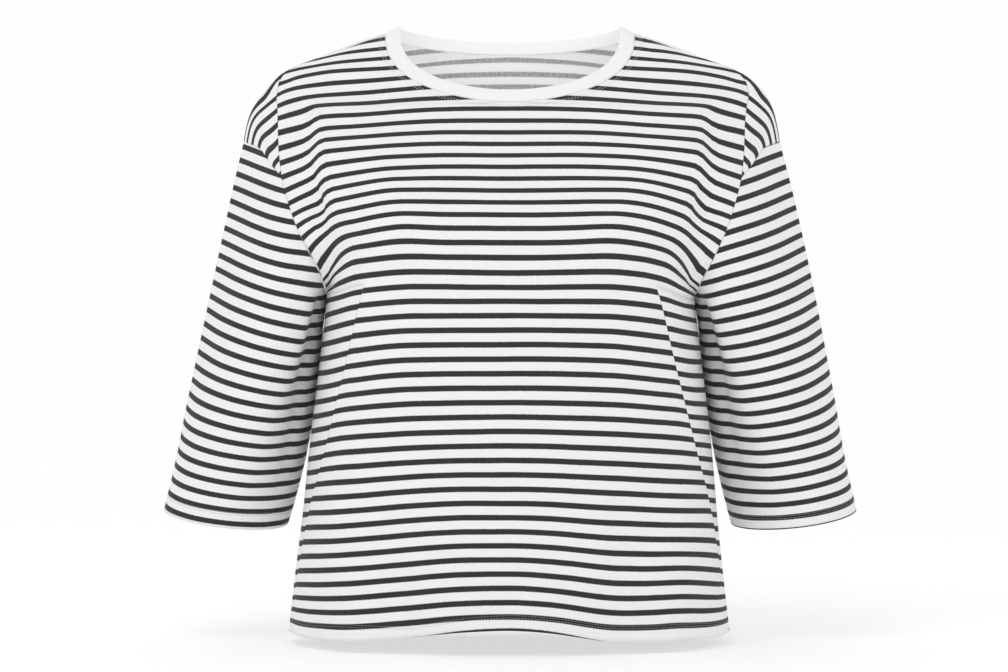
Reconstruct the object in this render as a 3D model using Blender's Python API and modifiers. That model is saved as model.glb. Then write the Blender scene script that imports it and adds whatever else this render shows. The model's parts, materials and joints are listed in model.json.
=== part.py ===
"""Striped three-quarter sleeve T-shirt, filled out with no wearer.

Five cut pieces of jersey and rib, each a thin open wall: front, back, two sleeves and a neckband.
+X is the wearer's left, -Y the front, +Z up, and the origin is between the two neck points of the
shoulder line, where a wearer's shoulders carry the shirt. All sizes are in metres, and the tables
are in millimetres. A "level" is the height in the flat cloth above the hem, so a stripe keeps one
level right across its panel, and each row of a panel's table is one such line of cloth.
"""

import math

import bpy
import numpy as np
from mathutils import Vector

MM = 0.001
WALL = 1.5 * MM                # jersey wall
RIB_WALL = 2.0 * MM            # the neckband's rib is folded double
SEAM_GAP = 0.3 * MM            # between pieces that are sewn together
BENT_PULL = 0.35 * MM          # how far an edge is drawn back where the wall bends at its seam
SMOOTH_ANGLE = math.radians(50)

NECK_HALF_WIDTH = 125          # neck seam, in millimetres
NECK_DROP_FRONT = 72
NECK_DROP_BACK = 15
NECK_POINT_Z = -7
NECK_REACH_FRONT = 55
NECK_REACH_BACK = 62
BAND_HALF_WIDTH = 110          # the neckband's free edge
BAND_DROP_FRONT = 67
BAND_DROP_BACK = 9
BAND_POINT_Z = 1
BAND_REACH_FRONT = 47
BAND_REACH_BACK = 57
NECK_SQUARENESS = 0.85
BAND_SQUARENESS = 0.75
BACK_NECK_SQUARENESS = 1.4     # the back's neckline is a flatter curve at its ends
BACK_BAND_SQUARENESS = 2.0
NECK_FULLNESS = 0.7            # under 1, the neckline runs fuller than an ellipse seen from above

UNDERARM_LEVEL = 342           # levels of cloth in the front panel
SHOULDER_FRONT_LEVEL = 490     # where the front's shoulder seam meets the sleeve
NECK_FRONT_LEVEL = 540         # centre front of the neck seam
SHOULDER_TURN_LEVEL = 578      # where the shoulder seam leaves the top of the shoulder
NECK_POINT_LEVEL = 637
BACK_NECK_LEVEL = 594          # levels of cloth in the back panel
BACK_POINT_LEVEL = 636
BACK_TURN_LEVEL = 654
BACK_SHOULDER_LEVEL = 734

# Each row is one line of the front's cloth: where it crosses the centre line, its height at 0.5, 0.8
# and 0.92 of the way out, and its outer end, with the angle it has turned through there in plan, and
# how full its curve is (an ellipse is 0.55). Up to the underarm the outer end is the widest point of
# the side, and above it is the panel's edge.
FRONT_COLUMNS = ("level", "centre_y", "centre_z", "z50", "z80", "z92", "end_x", "end_y", "end_z", "turn", "full")
FRONT_ROWS = (
    (0, -118, -592, -602, -606, -606, 222, 20, -604, 90, 0.60),
    (56, -125, -537, -545, -551, -554, 217, 20, -557, 90, 0.60),
    (126, -133, -469, -474, -480, -483, 208, 20, -486, 90, 0.60),
    (196, -139, -400, -403, -408, -413, 201, 18, -417, 90, 0.61),
    (266, -143, -331, -332, -338, -343, 192, 14, -345, 90, 0.64),
    (322, -141, -276, -276, -280, -285, 185, 6, -289, 90, 0.68),
    (342, -140, -257, -256, -260, -266, 183, 0, -270, 90, 0.69),
    (378, -136, -220, -220, -224, -236, 185, -50, -257, 65, 0.62),
    (406, -130, -193, -193, -201, -213, 198, -67, -230, 50, 0.58),
    (434, -119, -169, -169, -179, -195, 209, -70, -205, 42, 0.55),
    (462, -104, -145, -147, -156, -173, 217, -67, -181, 37, 0.55),
    (490, -88, -122, -124, -130, -148, 224, -60, -154, 42, 0.55),
    (518, -68, -98, -101, -106, -120, 228, -49, -125, 32, 0.55),
    (540, -55, -79, -83, -87, -96, 230, -38, -100, 28, 0.55),
    (560, -44, -65, -69, -73, -77, 233, -25, -81, 15, 0.55),
    (574, -36, -54, -58, -62, -65, 234, -14, -70, 15, 0.55),
    (588, -27, -42, -46, -51, -55, 231, -5, -59, 15, 0.55),
    (602, -19, -31, -37, -42, -45, 222, 0, -47, 10, 0.55),
    (616, -10, -20, -27, -32, -35, 205, 1, -37, 10, 0.55),
    (630, -3, -11, -16, -19, -21, 165, 1, -22, 10, 0.55),
    (637, 0, -7, -7, -7, -7, 125, 0, -7, 10, 0.55),
)

# The back's lines of cloth: the centre line, then its outer end on the armhole, with the angles by
# which it has turned in plan and fallen there, and by which it falls where it starts at the top edge.
BACK_COLUMNS = ("level", "centre_y", "centre_z", "end_x", "end_y", "end_z", "turn", "fall", "start_fall", "full")
BACK_ROWS = (
    (0, 104, -606, 222, 20, -604, 90, 0, 0, 0.62),
    (56, 101, -553, 217, 20, -557, 90, 0, 0, 0.62),
    (126, 97, -484, 208, 20, -486, 90, 0, 0, 0.63),
    (196, 93, -415, 201, 18, -417, 90, 0, 0, 0.67),
    (266, 92, -346, 192, 14, -345, 90, 0, 0, 0.73),
    (322, 94, -290, 185, 6, -289, 90, 0, 0, 0.80),
    (342, 95, -270, 183, 0, -270, 90, 2, 0, 0.82),
    (378, 97, -234, 186, 36, -258, 78, 6, 0, 0.76),
    (406, 98, -206, 193, 61, -239, 62, 12, 0, 0.68),
    (430, 98, -182, 202, 76, -218, 48, 20, 0, 0.62),
    (460, 97, -153, 212, 86, -194, 36, 28, 0, 0.58),
    (510, 92, -104, 230, 84, -160, 34, 42, 0, 0.55),
    (556, 78, -55, 240, 76, -145, 38, 52, 0, 0.55),
    (575, 70, -39, 245, 70, -137, 42, 58, 0, 0.55),
    (594, 62, -22, 250, 63, -129, 45, 62, 2, 0.55),
    (614, 60, -16, 257, 49, -122, 50, 68, 9, 0.55),
    (636, 60, -10, 263, 30, -117, 54, 74, 14, 0.55),
    (654, 60, -10, 267, 14, -115, 60, 76, 28, 0.55),
    (666, 60, -10, 267, 5, -114, 60, 77, 38, 0.55),
    (688, 60, -10, 249, -22, -123, 55, 76, 48, 0.55),
    (711, 60, -10, 236, -44, -140, 50, 74, 54, 0.55),
    (734, 60, -10, 224, -60, -154, 45, 72, 56, 0.55),
)

# Where the side seam crosses the front: its distance from the centre line at each level.
SEAM_COLUMNS = ("level", "x")
SEAM_ROWS = (
    (0, 221), (60, 213), (112, 203), (140, 195), (196, 180), (252, 165), (294, 154), (322, 147), (342, 141),
)

# The sleeve, from the armhole (0) to the cuff (1): how far each side swells past a straight line.
SLEEVE_COLUMNS = ("along", "inner", "front", "outer", "back")
SLEEVE_ROWS = (
    (0.00, 0, 0, 0, 0),
    (0.15, 2, 5, 1, 3),
    (0.30, 6, 8, 1, 6),
    (0.50, 9, 8, 1, 8),
    (0.70, 8, 6, 1, 6),
    (0.85, 5, 3, 0, 3),
    (1.00, 0, 0, 0, 0),
)
CUFF_OUTER = (351, 46, -484)   # millimetres, on the wearer's left
CUFF_INNER = (225, 46, -499)
CUFF_DEPTH = 57                # half of the cuff from front to back
CUFF_DIP = 0.15                # the cuff's front hangs lower than its sides by this slope
# Angle round the cuff, from its outer side towards the front, where each armhole point's line ends.
UNDERARM_ANGLE = 135
SHOULDER_ANGLE = 35
TOP_ANGLE = -8

# Soft folds: from one point to another (x, z), half width and depth, positive for a trough.
FOLD_COLUMNS = ("side", "x0", "z0", "x1", "z1", "half_width", "depth")
FOLDS = (
    ("front", 204, -88, 192, -185, 11, 4.5),
    ("front", 192, -185, 176, -240, 12, 5.0),
    ("front", 165, -470, 158, -606, 26, -5.0),
    ("front", 118, -500, 108, -606, 24, 4.0),
    ("front", 40, -520, 30, -606, 40, -3.0),
    ("back", 200, -150, 175, -250, 18, 5.0),
    ("back", 150, -460, 160, -610, 30, -6.0),
    ("back", 85, -430, 80, -610, 34, 6.0),
    ("back", 0, -420, 0, -610, 36, -5.0),
)

LOW_STEPS = 11
LOW_LEVELS = tuple(UNDERARM_LEVEL * step / LOW_STEPS for step in range(LOW_STEPS))
ARM_LEVELS = (342, 354, 366, 378, 392, 406, 424, 443, 466)
FRONT_SHOULDER_LEVELS = (490, 506, 523)
NECK_STEPS = 8
NECK_TIP = 5                   # levels left off the front where it ends in a point at the neck
SHOULDER_TIP = 1.5             # and off the back, where it ends in one at the front of the shoulder
BACK_ARM_LEVELS = (342, 355, 368, 383, 400, 420, 442, 465, 488, 514, 541, 568)
INNER_COLUMNS = 7
OUTER_COLUMNS = 5
BAND_STEPS = 2
SLEEVE_STEPS = 9


def monotone(xs, ys, x):
    """A smooth curve through a table's values that never overshoots them."""
    steps = np.diff(xs)
    slopes = np.diff(ys) / steps
    tangents = np.zeros(len(xs))
    for i in range(1, len(xs) - 1):
        if slopes[i - 1] * slopes[i] > 0:
            tangents[i] = 2 * slopes[i - 1] * slopes[i] / (slopes[i - 1] + slopes[i])
    tangents[0] = slopes[0]
    tangents[-1] = slopes[-1]
    i = int(np.clip(np.searchsorted(xs, x) - 1, 0, len(xs) - 2))
    t = (x - xs[i]) / steps[i]
    return (ys[i] * (1 + 2 * t) * (1 - t) ** 2 + ys[i + 1] * t * t * (3 - 2 * t)
            + steps[i] * (tangents[i] * t * (1 - t) ** 2 - tangents[i + 1] * t * t * (1 - t)))


def read(columns, rows, where):
    """Every other column of a table, at one value of its first column."""
    table = np.array(rows, float)
    return {name: monotone(table[:, 0], table[:, i], where) for i, name in enumerate(columns) if i}


def bezier(points, t):
    a, b, c, d = (np.array(point, float) for point in points)
    t = np.asarray(t)[:, None]
    return a * (1 - t) ** 3 + 3 * b * t * (1 - t) ** 2 + 3 * c * t * t * (1 - t) + d * t ** 3


def spaced(curve, fractions):
    """Points at given fractions of a polyline's length."""
    lengths = np.r_[0, np.cumsum(np.linalg.norm(np.diff(curve, axis=0), axis=1))]
    wanted = np.asarray(fractions) * lengths[-1]
    return np.stack([np.interp(wanted, lengths, curve[:, axis]) for axis in range(3)], 1)


def neck_seam(angle, front):
    """A point of the neck seam, from the centre (0) to the neck point (90 degrees)."""
    cosine = max(math.cos(angle), 0.0)
    reach, drop, square = -NECK_REACH_FRONT, NECK_DROP_FRONT, NECK_SQUARENESS
    if not front:
        reach, drop, square = NECK_REACH_BACK, NECK_DROP_BACK, BACK_NECK_SQUARENESS
    height = NECK_POINT_Z - drop * cosine ** square
    return np.array([NECK_HALF_WIDTH * math.sin(angle), reach * cosine ** NECK_FULLNESS, height])


def band_edge(angle, front):
    """The matching point of the neckband's free edge."""
    cosine = max(math.cos(angle), 0.0)
    reach, drop, square = -BAND_REACH_FRONT, BAND_DROP_FRONT, BAND_SQUARENESS
    if not front:
        reach, drop, square = BAND_REACH_BACK, BAND_DROP_BACK, BACK_BAND_SQUARENESS
    height = BAND_POINT_Z - drop * cosine ** square
    return np.array([BAND_HALF_WIDTH * math.sin(angle), reach * cosine ** NECK_FULLNESS, height])


def front_neck_level(angle):
    rise = NECK_POINT_LEVEL - NECK_FRONT_LEVEL
    return NECK_POINT_LEVEL - rise * max(math.cos(angle), 0.0) ** NECK_SQUARENESS


def front_neck_angle(level):
    rise = NECK_POINT_LEVEL - NECK_FRONT_LEVEL
    cosine = ((NECK_POINT_LEVEL - level) / rise) ** (1 / NECK_SQUARENESS)
    return math.acos(min(max(cosine, -1.0), 1.0))


def front_line(level):
    """One line of the front's cloth, from its centre line or neck seam to its outer end."""
    row = read(FRONT_COLUMNS, FRONT_ROWS, level)
    start = np.array([0, row["centre_y"], row["centre_z"]])
    if level > NECK_FRONT_LEVEL:
        start = neck_seam(front_neck_angle(level), True)
    end = np.array([row["end_x"], row["end_y"], row["end_z"]])
    turn = math.radians(row["turn"])
    out, back = end[0] - start[0], end[1] - start[1]
    reach = row["full"] * (abs(out) * math.cos(turn) + abs(back) * math.sin(turn))
    lead = start + (row["full"] * out, 0, 0)
    tail = end - (reach * math.cos(turn), reach * math.sin(turn), 0)
    curve = bezier((start, lead, tail, end), np.linspace(0, 1, 200))
    stations = np.array([-0.5, 0, 0.5, 0.8, 0.92, 1.0])
    heights = np.array([row["z50"], start[2], row["z50"], row["z80"], row["z92"], end[2]])
    # A line that crosses the centre is level there, so it starts from its mirrored half.
    first = 1 if level > NECK_FRONT_LEVEL else 0
    shares = (curve[:, 0] - start[0]) / max(out, 0.001)
    curve[:, 2] = [monotone(stations[first:], heights[first:], share) for share in shares]
    return curve


def front_edge(level):
    return front_line(level)[-1]


def back_level(level):
    """The back's level where the front's shoulder seam has the given level."""
    if level >= SHOULDER_TURN_LEVEL:
        share = (NECK_POINT_LEVEL - level) / (NECK_POINT_LEVEL - SHOULDER_TURN_LEVEL)
        return BACK_POINT_LEVEL + share * (BACK_TURN_LEVEL - BACK_POINT_LEVEL)
    share = (SHOULDER_TURN_LEVEL - level) / (SHOULDER_TURN_LEVEL - SHOULDER_FRONT_LEVEL)
    return BACK_TURN_LEVEL + share * (BACK_SHOULDER_LEVEL - BACK_TURN_LEVEL)


def back_line(level, start=None):
    """One line of the back's cloth, from its centre line or top edge to its outer end."""
    row = read(BACK_COLUMNS, BACK_ROWS, level)
    if start is None:
        start = np.array([0, row["centre_y"], row["centre_z"]])
    end = np.array([row["end_x"], row["end_y"], row["end_z"]])
    out, back, down = np.abs(end - start)
    turn, fall, dip = (math.radians(row[name]) for name in ("turn", "fall", "start_fall"))
    heading = np.array([math.cos(turn) * math.cos(fall), -math.sin(turn) * math.cos(fall), -math.sin(fall)])
    first = np.array([math.cos(dip), 0, -math.sin(dip)])
    lead = start + row["full"] * np.dot((out, back, down), np.abs(first)) * first
    tail = end - row["full"] * np.dot((out, back, down), np.abs(heading)) * heading
    return bezier((start, lead, tail, end), np.linspace(0, 1, 200))


def folded(points):
    """The points with the soft folds pressed in or raised, along the wall's direction."""
    result = np.array(points, float)
    for row in FOLDS:
        fold = dict(zip(FOLD_COLUMNS, row))
        a = np.array([fold["x0"], fold["z0"]])
        b = np.array([fold["x1"], fold["z1"]])
        along = b - a
        for point in result.reshape(-1, 3):
            if (point[1] < 0) != (fold["side"] == "front"):
                continue
            here = np.array([abs(point[0]), point[2]])
            t = min(max(np.dot(here - a, along) / np.dot(along, along), 0.0), 1.0)
            gap = np.linalg.norm(here - a - t * along)
            depth = fold["depth"] * math.exp(-(gap / fold["half_width"]) ** 2)
            outward = np.array([point[0] / 200 ** 2, point[1] / 120 ** 2, 0])
            point -= depth * outward / np.linalg.norm(outward)
    return result


def drawn(edge, inner, distance):
    """Edge points moved into their piece, square to the edge."""
    tangent = np.gradient(edge, axis=0)
    tangent /= np.maximum(np.linalg.norm(tangent, axis=1, keepdims=True), 1e-9)
    away = inner - edge
    away -= tangent * np.sum(away * tangent, axis=1, keepdims=True)
    length = np.linalg.norm(away, axis=1, keepdims=True)
    return edge + away * distance / np.maximum(length, 1e-9)


def pulled_in(grid, right=None, left=None, top=None, bottom=None, distance=SEAM_GAP / 2):
    """A grid whose sewn edges are drawn back, each from a given row or column onwards.

    The distance is half of the gap between pieces, or more where the wall bends at the seam and its
    inner faces would meet.
    """
    distance = distance / MM
    result = np.array(grid)
    if right is not None:
        result[right:, -1] = drawn(grid[right:, -1], grid[right:, -2], distance)
    if left is not None:
        result[left:, 0] = drawn(grid[left:, 0], grid[left:, 1], distance)
    if top is not None:
        result[-1, top:] = drawn(result[-1, top:], grid[-2, top:], distance)
    if bottom is not None:
        result[0, bottom:] = drawn(result[0, bottom:], grid[1, bottom:], distance)
    return result


def neck_levels():
    """Levels of the front's lines that start on the neck seam, evenly round it."""
    angles = (math.pi / 2 * step / NECK_STEPS for step in range(NECK_STEPS))
    return [front_neck_level(angle) for angle in angles] + [NECK_POINT_LEVEL - NECK_TIP]


def seam_share(level):
    """How far along a front line the side seam crosses it."""
    line = front_line(level)
    lengths = np.r_[0, np.cumsum(np.linalg.norm(np.diff(line, axis=0), axis=1))]
    x = read(SEAM_COLUMNS, SEAM_ROWS, level)["x"]
    return float(np.interp(x, line[:, 0], lengths) / lengths[-1])


def front_grids():
    """Half of the front: below the underarm to the side seam, and above it to the armhole."""
    corner = seam_share(UNDERARM_LEVEL)
    inner = np.linspace(0, 1, INNER_COLUMNS + 1)
    outer = np.r_[inner * corner, np.linspace(corner, 1, OUTER_COLUMNS + 1)[1:]]
    low = [spaced(front_line(level), inner * seam_share(level)) for level in LOW_LEVELS]
    upper_levels = [*ARM_LEVELS, *FRONT_SHOULDER_LEVELS, *neck_levels()]
    high = [spaced(front_line(level), outer) for level in upper_levels]
    low.append(high[0][:INNER_COLUMNS + 1])
    return np.array(low), np.array(high)


def back_grids():
    """Half of the back, and the strip of it that comes forward under the arm to the side seam."""
    columns = np.linspace(0, 1, INNER_COLUMNS + OUTER_COLUMNS + 1)
    rows = [spaced(back_line(level), columns) for level in (*LOW_LEVELS, *BACK_ARM_LEVELS)]
    for step in range(NECK_STEPS):
        angle = math.pi / 2 * step / NECK_STEPS
        level = BACK_POINT_LEVEL - (BACK_POINT_LEVEL - BACK_NECK_LEVEL) * math.cos(angle)
        rows.append(spaced(back_line(level, neck_seam(angle, False)), columns))
    tip = SHOULDER_FRONT_LEVEL + SHOULDER_TIP
    for level in (NECK_POINT_LEVEL, *neck_levels()[::-1], *FRONT_SHOULDER_LEVELS[:0:-1], tip):
        rows.append(spaced(back_line(back_level(level), front_edge(level)), columns))
    strip = []
    for level in (*LOW_LEVELS, UNDERARM_LEVEL):
        shares = np.linspace(seam_share(level), 1, OUTER_COLUMNS + 1)
        strip.append(spaced(front_line(level), shares)[::-1])
    return np.array(rows), np.array(strip)


def armhole():
    """The armhole's points from the underarm, up the front and down the back, and their cuff angles."""
    front = [front_edge(level) for level in (*ARM_LEVELS, *FRONT_SHOULDER_LEVELS[:1])]
    back = back_grids()[0][len(LOW_LEVELS):, -1][::-1]
    loop = np.array(list(front) + list(back))
    lengths = np.r_[0, np.cumsum(np.linalg.norm(np.diff(loop, axis=0), axis=1))]
    shoulder = len(front) - 1
    top = int(np.argmax(loop[:, 2]))
    marks = (lengths[0], lengths[shoulder], lengths[top], lengths[-1])
    angles = (UNDERARM_ANGLE, SHOULDER_ANGLE, TOP_ANGLE, UNDERARM_ANGLE - 360)
    return loop, np.interp(lengths, marks, angles)


def cuff_point(angle):
    outer, inner = np.array(CUFF_OUTER, float), np.array(CUFF_INNER, float)
    centre, across = (outer + inner) / 2, (outer - inner) / 2
    forward = CUFF_DEPTH * np.array([0, -1, -CUFF_DIP])
    return centre + across * math.cos(math.radians(angle)) + forward * math.sin(math.radians(angle))


def sleeve_grid():
    """Rings of the sleeve, from the armhole to the cuff."""
    loop, angles = armhole()
    cuff = np.array([cuff_point(angle) for angle in angles])
    rings = []
    for step in range(SLEEVE_STEPS + 1):
        along = step / SLEEVE_STEPS
        swell = read(SLEEVE_COLUMNS, SLEEVE_ROWS, along)
        ring = loop * (1 - along) + cuff * along
        for point, angle in zip(ring, np.radians(angles)):
            across, forward = math.cos(angle), math.sin(angle)
            point[0] += swell["outer"] * max(across, 0) ** 2 - swell["inner"] * max(-across, 0) ** 2
            point[1] += swell["back"] * max(-forward, 0) ** 2 - swell["front"] * max(forward, 0) ** 2
        rings.append(ring)
    return np.array(rings)


def band_grid():
    """The neckband's strip, once round from centre back, as rows from the seam to the free edge."""
    angles = [math.pi / 2 * step / NECK_STEPS for step in range(NECK_STEPS + 1)]
    half = [(angle, False) for angle in angles] + [(angle, True) for angle in angles[-2::-1]]
    rows = []
    for step in range(BAND_STEPS + 1):
        share = step / BAND_STEPS
        rows.append([neck_seam(*at) * (1 - share) + band_edge(*at) * share for at in half])
    return np.array(rows)


def add_grid(vertices, faces, grid, flip):
    """Add a grid of points as quads."""
    rows, columns = grid.shape[:2]
    first = len(vertices)
    vertices.extend(Vector(point) * MM for point in grid.reshape(-1, 3))
    for r in range(rows - 1):
        for c in range(columns - 1):
            corner = first + r * columns + c
            quad = (corner, corner + 1, corner + columns + 1, corner + columns)
            faces.append(quad[::-1] if flip else quad)


def wall_object(name, grids, material, thickness, mirrored):
    """One piece: its grids welded into an open surface, mirrored if it is a half, given a wall."""
    vertices, faces = [], []
    for grid, flip in grids:
        add_grid(vertices, faces, grid, flip)
    mesh = bpy.data.meshes.new(name)
    mesh.from_pydata(vertices, [], faces)
    mesh.materials.append(material)
    piece = bpy.data.objects.new(name, mesh)
    garment.objects.link(piece)
    weld = piece.modifiers.new("Weld", "WELD")
    weld.merge_threshold = 0.00002
    if mirrored:
        mirror = piece.modifiers.new("Mirror", "MIRROR")
        mirror.merge_threshold = 0.00005
    solid = piece.modifiers.new("Solidify", "SOLIDIFY")
    solid.thickness = thickness
    solid.offset = -1
    solid.use_even_offset = True
    mesh.shade_smooth()
    mesh.set_sharp_from_angle(angle=SMOOTH_ANGLE)
    return piece


def cloth_material(name, colour, roughness):
    material = bpy.data.materials.new(name)
    material.use_nodes = True
    shader = material.node_tree.nodes["Principled BSDF"]
    shader.inputs["Base Color"].default_value = (*colour, 1)
    shader.inputs["Roughness"].default_value = roughness
    shader.inputs["Metallic"].default_value = 0
    return material


def make_front(material):
    low, high = front_grids()
    neck = len(ARM_LEVELS) + len(FRONT_SHOULDER_LEVELS)
    low = pulled_in(folded(low), right=0, distance=BENT_PULL)
    high = folded(high)
    corner = high[0, INNER_COLUMNS].copy()
    high = pulled_in(high, right=0, left=neck, bottom=INNER_COLUMNS, distance=BENT_PULL)
    high[0, INNER_COLUMNS] += low[-1, -1] - corner
    low[-1, -1] = high[0, INNER_COLUMNS]
    return wall_object("front", [(low, False), (high, False)], material, WALL, True)


def make_back(material):
    rows, strip = back_grids()
    underarm = len(LOW_LEVELS)
    top = underarm + len(BACK_ARM_LEVELS)
    rows = pulled_in(folded(rows), right=underarm + 1, left=top, top=0, distance=BENT_PULL)
    strip = pulled_in(folded(strip), right=0, top=0, distance=BENT_PULL)
    rows[underarm, -1] = strip[-1, 0]
    return wall_object("back", [(rows, True), (strip, True)], material, WALL, True)


def make_sleeve(name, side, material):
    grid = pulled_in(sleeve_grid(), bottom=0, distance=BENT_PULL)
    grid[..., 0] *= side
    return wall_object(name, [(grid, side > 0)], material, WALL, False)


def make_neckband(material):
    return wall_object("neckband", [(pulled_in(band_grid(), bottom=0), True)], material, RIB_WALL, True)


for leftover in list(bpy.data.objects):
    bpy.data.objects.remove(leftover, do_unlink=True)

garment = bpy.data.collections.new("t_shirt")
bpy.context.scene.collection.children.link(garment)
jersey = cloth_material("striped_jersey", (0.72, 0.72, 0.73), 0.9)
rib = cloth_material("rib", (0.88, 0.88, 0.87), 0.9)
make_front(jersey)
make_back(jersey)
make_sleeve("sleeve_left", 1, jersey)
make_sleeve("sleeve_right", -1, jersey)
make_neckband(rib)
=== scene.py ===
"""Looks of a striped three-quarter sleeve T-shirt, filled out as if worn.

Each cut piece is a thin jersey shell on its solid's form, with its creases, seams and sewing. Tables
are in millimetres, in the frame's axes: +X is the wearer's left, -Y the front, +Z up. A "level" is the
height in the flat cloth above the hem, so a stripe keeps one level right across its panel.
"""

import json
import math

import bpy
import numpy as np
from bpy.props import FloatProperty, FloatVectorProperty, PointerProperty
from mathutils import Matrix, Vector
from mathutils.bvhtree import BVHTree

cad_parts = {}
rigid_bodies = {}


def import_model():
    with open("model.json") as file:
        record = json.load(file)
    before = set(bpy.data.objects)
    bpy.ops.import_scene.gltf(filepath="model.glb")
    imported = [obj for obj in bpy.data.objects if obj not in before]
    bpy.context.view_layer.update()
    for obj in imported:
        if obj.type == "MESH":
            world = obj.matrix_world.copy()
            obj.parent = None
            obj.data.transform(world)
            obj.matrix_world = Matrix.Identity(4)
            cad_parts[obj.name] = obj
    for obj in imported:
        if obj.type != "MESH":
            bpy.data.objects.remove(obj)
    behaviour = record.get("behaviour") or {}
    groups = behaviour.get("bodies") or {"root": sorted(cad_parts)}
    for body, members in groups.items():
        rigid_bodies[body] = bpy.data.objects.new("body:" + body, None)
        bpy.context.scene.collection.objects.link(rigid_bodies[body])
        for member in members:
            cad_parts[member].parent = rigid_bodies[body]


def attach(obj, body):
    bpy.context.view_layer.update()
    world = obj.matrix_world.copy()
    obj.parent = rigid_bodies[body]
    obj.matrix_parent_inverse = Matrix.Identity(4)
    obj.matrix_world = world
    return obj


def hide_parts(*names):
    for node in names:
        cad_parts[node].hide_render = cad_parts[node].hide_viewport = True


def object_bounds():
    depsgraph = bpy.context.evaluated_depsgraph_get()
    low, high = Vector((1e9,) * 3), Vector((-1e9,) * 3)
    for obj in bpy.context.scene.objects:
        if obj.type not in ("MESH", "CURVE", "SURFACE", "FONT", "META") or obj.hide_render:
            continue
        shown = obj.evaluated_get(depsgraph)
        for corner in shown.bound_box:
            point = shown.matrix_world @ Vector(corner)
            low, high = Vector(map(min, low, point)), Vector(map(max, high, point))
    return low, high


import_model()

bl_info = {
    "name": "Striped T-shirt",
    "version": (1, 0, 0),
    "blender": (4, 5, 0),
    "location": "View3D > Sidebar > T-shirt",
    "description": "Jersey panels, sleeves, neckband and sewing of a striped T-shirt",
    "category": "Object",
}

MM = 0.001
MM_PER_METRE = 1000
CAD_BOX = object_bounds()
BODY = "root"

# ------------ the shirt's cut, as its solids have it

# Curves round the neck: half width, height at the neck point, and then, at the front and at the back,
# how far the curve reaches from the middle, how far it drops and how square it is.
NECK_SQUARENESS = 0.85
NECK_SEAM = (125, -7, (-55, 72, NECK_SQUARENESS), (62, 15, 1.4))
BAND_EDGE = (110, 1, (-47, 67, 0.75), (57, 9, 2.0))
NECK_FULLNESS = 0.7

UNDERARM_LEVEL = 342
SHOULDER_FRONT_LEVEL = 490
NECK_FRONT_LEVEL = 540
SHOULDER_TURN_LEVEL = 578
NECK_POINT_LEVEL = 637
BACK_NECK_LEVEL = 594
BACK_POINT_LEVEL = 636
BACK_TURN_LEVEL = 654
BACK_SHOULDER_LEVEL = 734

# Lines of the front's cloth: where each crosses the centre line, its height on the way out, its outer
# end, the angle it has turned through there in plan, and how full its curve is.
FRONT_COLUMNS = (
    "level", "centre_y", "centre_z", "z50", "z80", "z92", "end_x", "end_y", "end_z", "turn", "full",
)
FRONT_ROWS = (
    (0, -118, -592, -602, -606, -606, 222, 20, -604, 90, 0.60),
    (56, -125, -537, -545, -551, -554, 217, 20, -557, 90, 0.60),
    (126, -133, -469, -474, -480, -483, 208, 20, -486, 90, 0.60),
    (196, -139, -400, -403, -408, -413, 201, 18, -417, 90, 0.61),
    (266, -143, -331, -332, -338, -343, 192, 14, -345, 90, 0.64),
    (322, -141, -276, -276, -280, -285, 185, 6, -289, 90, 0.68),
    (342, -140, -257, -256, -260, -266, 183, 0, -270, 90, 0.69),
    (378, -136, -220, -220, -224, -236, 185, -50, -257, 65, 0.62),
    (406, -130, -193, -193, -201, -213, 198, -67, -230, 50, 0.58),
    (434, -119, -169, -169, -179, -195, 209, -70, -205, 42, 0.55),
    (462, -104, -145, -147, -156, -173, 217, -67, -181, 37, 0.55),
    (490, -88, -122, -124, -130, -148, 224, -60, -154, 42, 0.55),
    (518, -68, -98, -101, -106, -120, 228, -49, -125, 32, 0.55),
    (540, -55, -79, -83, -87, -96, 230, -38, -100, 28, 0.55),
    (560, -44, -65, -69, -73, -77, 233, -25, -81, 15, 0.55),
    (574, -36, -54, -58, -62, -65, 236, -14, -69, 15, 0.55),
    (588, -27, -42, -46, -51, -55, 235, -5, -57, 15, 0.55),
    (602, -19, -31, -37, -41, -43, 226, 0, -45, 10, 0.55),
    (616, -10, -20, -27, -32, -34, 207, 1, -36, 10, 0.55),
    (630, -3, -11, -16, -19, -21, 165, 1, -22, 10, 0.55),
    (637, 0, -7, -7, -7, -7, 125, 0, -7, 10, 0.55),
)
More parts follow.
